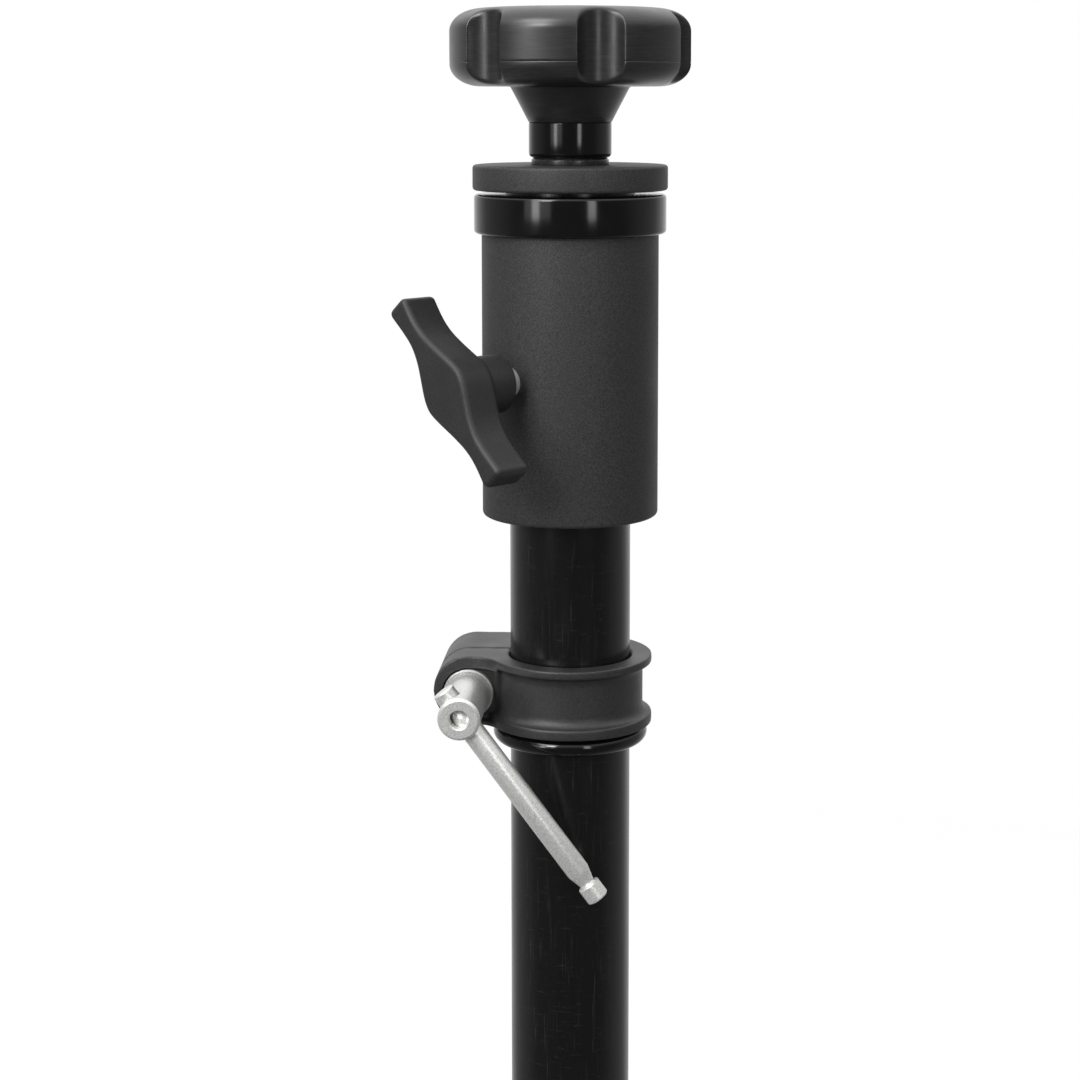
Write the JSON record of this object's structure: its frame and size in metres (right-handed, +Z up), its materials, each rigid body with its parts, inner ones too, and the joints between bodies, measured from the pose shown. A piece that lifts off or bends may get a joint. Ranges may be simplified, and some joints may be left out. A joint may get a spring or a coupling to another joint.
{
  "type": "followspot stand",
  "caption": "Folding tripod stand with a sliding mast and a turning head whose spigot, disc and hand knob hold the yoke of a followspot.",
  "frame": {"origin": "on the mast axis at floor level", "axes": "+Z up along the mast, -Y to the front that the picture shows, +X to its right"},
  "size_m": [1.0148, 0.8866, 1.2991],
  "materials": {
    "black_plastic": "moulded matt black plastic",
    "black_acetal": "polished turned black acetal",
    "white_acetal": "turned natural acetal",
    "zinc_steel": "bright zinc plate",
    "bare_steel": "turned",
    "black_steel": "chemically blackened",
    "black_paint": "fine textured black powder coat",
    "gloss_paint": "half gloss black paint",
    "black_casting": "black painted casting",
    "brass": "turned",
    "rubber": "moulded"
  },
  "bodies": {
    "column": {"column_tube": "gloss_paint", "column_head": "black_casting", "column_liner": "white_acetal", "column_foot": "black_casting", "column_plug": "rubber", "hub_pins": "zinc_steel"},
    "mast": {"mast_tube": "gloss_paint", "mast_cap": "bare_steel", "mast_foot_bush": "white_acetal"},
    "head": {"head_sleeve": "black_paint", "sleeve_bushes": "white_acetal", "thrust_pad": "white_acetal", "head_spigot": "black_steel", "bearing_ring": "black_acetal", "clamp_stud": "zinc_steel"},
    "disc": {"clamp_disc": "black_paint", "clamp_washer": "black_steel", "knob_spacer": "black_acetal"},
    "knob": {"hand_knob": "black_plastic"},
    "slug": {"brake_slug": "brass"},
    "wing": {"wing_knob": "black_plastic", "wing_stud": "zinc_steel"},
    "buffer": {"buffer_washer": "black_acetal"},
    "collar": {"stop_collar": "black_casting"},
    "collar_washer": {"collar_washer": "zinc_steel"},
    "collar_screw": {"collar_screw": "zinc_steel"},
    "collar_bar": {"collar_bar": "zinc_steel"},
    "column_washer": {"column_washer": "zinc_steel"},
    "column_screw": {"column_screw": "zinc_steel"},
    "column_bar": {"column_bar": "zinc_steel"},
    "slider": {"leg_slider": "black_casting", "slider_pins": "zinc_steel"},
    "slider_washer": {"slider_washer": "zinc_steel"},
    "slider_screw": {"slider_screw": "zinc_steel"},
    "slider_bar": {"slider_bar": "zinc_steel"},
    "brace_1": {"brace_1": "gloss_paint"},
    "leg_1": {"leg_1": "gloss_paint", "leg_eye_1": "black_casting", "foot_1": "rubber", "leg_pin_1": "zinc_steel"},
    "brace_2": {"brace_2": "gloss_paint"},
    "leg_2": {"leg_2": "gloss_paint", "leg_eye_2": "black_casting", "foot_2": "rubber", "leg_pin_2": "zinc_steel"},
    "brace_3": {"brace_3": "gloss_paint"},
    "leg_3": {"leg_3": "gloss_paint", "leg_eye_3": "black_casting", "foot_3": "rubber", "leg_pin_3": "zinc_steel"}
  },
  "joints": [
    {"name": "mast_slide", "type": "slide", "parent": "column", "child": "mast", "axis": [0, 0, 1], "range_m": [-0.13, 0.3]},
    {"name": "head_pan", "type": "hinge", "parent": "mast", "child": "head", "pos_m": [0, 0, 1.15414], "axis": [0, 0, 1], "continuous": true},
    {"name": "disc_lift", "type": "slide", "parent": "head", "child": "disc", "axis": [0, 0, 1], "range_m": [0, 0.008]},
    {"name": "knob_turn", "type": "hinge", "parent": "disc", "child": "knob", "pos_m": [0, 0, 1.29834], "axis": [0, 0, 1], "range_deg": [0, 1440]},
    {"name": "slug_feed", "type": "slide", "parent": "head", "child": "slug", "axis": [-0.6884, -0.7254, 0], "range_m": [0, 0.0035]},
    {"name": "wing_turn", "type": "hinge", "parent": "slug", "child": "wing", "pos_m": [-0.02416, -0.02546, 1.15414], "axis": [-0.6884, -0.7254, 0], "range_deg": [0, 720]},
    {"name": "collar_slide", "type": "slide", "parent": "mast", "child": "buffer", "axis": [0, 0, 1], "range_m": [-0.05, 0.05]},
    {"name": "collar_swing", "type": "hinge", "parent": "buffer", "child": "collar", "pos_m": [0, 0, 1.01294], "axis": [0, 0, 1], "continuous": true},
    {"name": "collar_feed", "type": "slide", "parent": "collar", "child": "collar_washer", "axis": [-0.0523, -0.9986, 0], "range_m": [0, 0.0015]},
    {"name": "collar_turn", "type": "hinge", "parent": "collar_washer", "child": "collar_screw", "pos_m": [-0.04096, -0.00486, 1.02524], "axis": [-0.0523, -0.9986, 0], "range_deg": [0, 360]},
    {"name": "collar_bar_slide", "type": "slide", "parent": "collar_screw", "child": "collar_bar", "axis": [-0.5926, 0.0311, 0.8049], "range_m": [0, 0.079]},
    {"name": "column_feed", "type": "slide", "parent": "column", "child": "column_washer", "axis": [0.5736, -0.8192, 0], "range_m": [0, 0.0015]},
    {"name": "column_turn", "type": "hinge", "parent": "column_washer", "child": "column_screw", "pos_m": [-0.03045, -0.03279, 0.74134], "axis": [0.5736, -0.8192, 0], "range_deg": [0, 360]},
    {"name": "column_bar_slide", "type": "slide", "parent": "column_screw", "child": "column_bar", "axis": [-0.4861, -0.3404, 0.8049], "range_m": [0, 0.079]},
    {"name": "brace_1_fold", "type": "hinge", "parent": "column", "child": "brace_1", "pos_m": [0, 0.056, 0.06194], "axis": [1, 0, 0], "range_deg": [0, 46]},
    {"name": "leg_1_fold", "type": "hinge", "parent": "brace_1", "child": "leg_1", "pos_m": [0, 0.28058, 0.2374], "axis": [-1, 0, 0], "range_deg": [0, 92]},
    {"name": "slider_fold", "type": "hinge", "parent": "leg_1", "child": "slider", "pos_m": [0, 0.056, 0.41287], "axis": [1, 0, 0], "range_deg": [0, 46]},
    {"name": "brace_2_fold", "type": "hinge", "parent": "column", "child": "brace_2", "pos_m": [-0.0485, -0.028, 0.06194], "axis": [-0.5, 0.866, 0], "range_deg": [0, 46]},
    {"name": "leg_2_fold", "type": "hinge", "parent": "brace_2", "child": "leg_2", "pos_m": [-0.24299, -0.14029, 0.2374], "axis": [0.5, -0.866, 0], "range_deg": [0, 92]},
    {"name": "brace_3_fold", "type": "hinge", "parent": "column", "child": "brace_3", "pos_m": [0.0485, -0.028, 0.06194], "axis": [-0.5, -0.866, 0], "range_deg": [0, 46]},
    {"name": "leg_3_fold", "type": "hinge", "parent": "brace_3", "child": "leg_3", "pos_m": [0.24299, -0.14029, 0.2374], "axis": [0.5, 0.866, 0], "range_deg": [0, 92]},
    {"name": "slider_feed", "type": "slide", "parent": "slider", "child": "slider_washer", "axis": [0, -1, 0], "range_m": [0, 0.0015]},
    {"name": "slider_turn", "type": "hinge", "parent": "slider_washer", "child": "slider_screw", "pos_m": [0, -0.048, 0.42087], "axis": [0, -1, 0], "range_deg": [0, 360]},
    {"name": "slider_bar_slide", "type": "slide", "parent": "slider_screw", "child": "slider_bar", "axis": [-0.5934, 0, 0.8049], "range_m": [0, 0.079]}
  ],
  "couplings": [
    {"joint": "disc_lift", "follows": "knob_turn", "m_per_rad": 0.00031831},
    {"joint": "slug_feed", "follows": "wing_turn", "m_per_rad": 0.00027852},
    {"joint": "collar_feed", "follows": "collar_turn", "m_per_rad": 0.00023873},
    {"joint": "column_feed", "follows": "column_turn", "m_per_rad": 0.00023873},
    {"joint": "leg_1_fold", "follows": "brace_1_fold", "ratio": 2},
    {"joint": "slider_fold", "follows": "brace_1_fold", "ratio": 1},
    {"joint": "brace_2_fold", "follows": "brace_1_fold", "ratio": 1},
    {"joint": "leg_2_fold", "follows": "brace_1_fold", "ratio": 2},
    {"joint": "brace_3_fold", "follows": "brace_1_fold", "ratio": 1},
    {"joint": "leg_3_fold", "follows": "brace_1_fold", "ratio": 2},
    {"joint": "slider_feed", "follows": "slider_turn", "m_per_rad": 0.00023873}
  ]
}
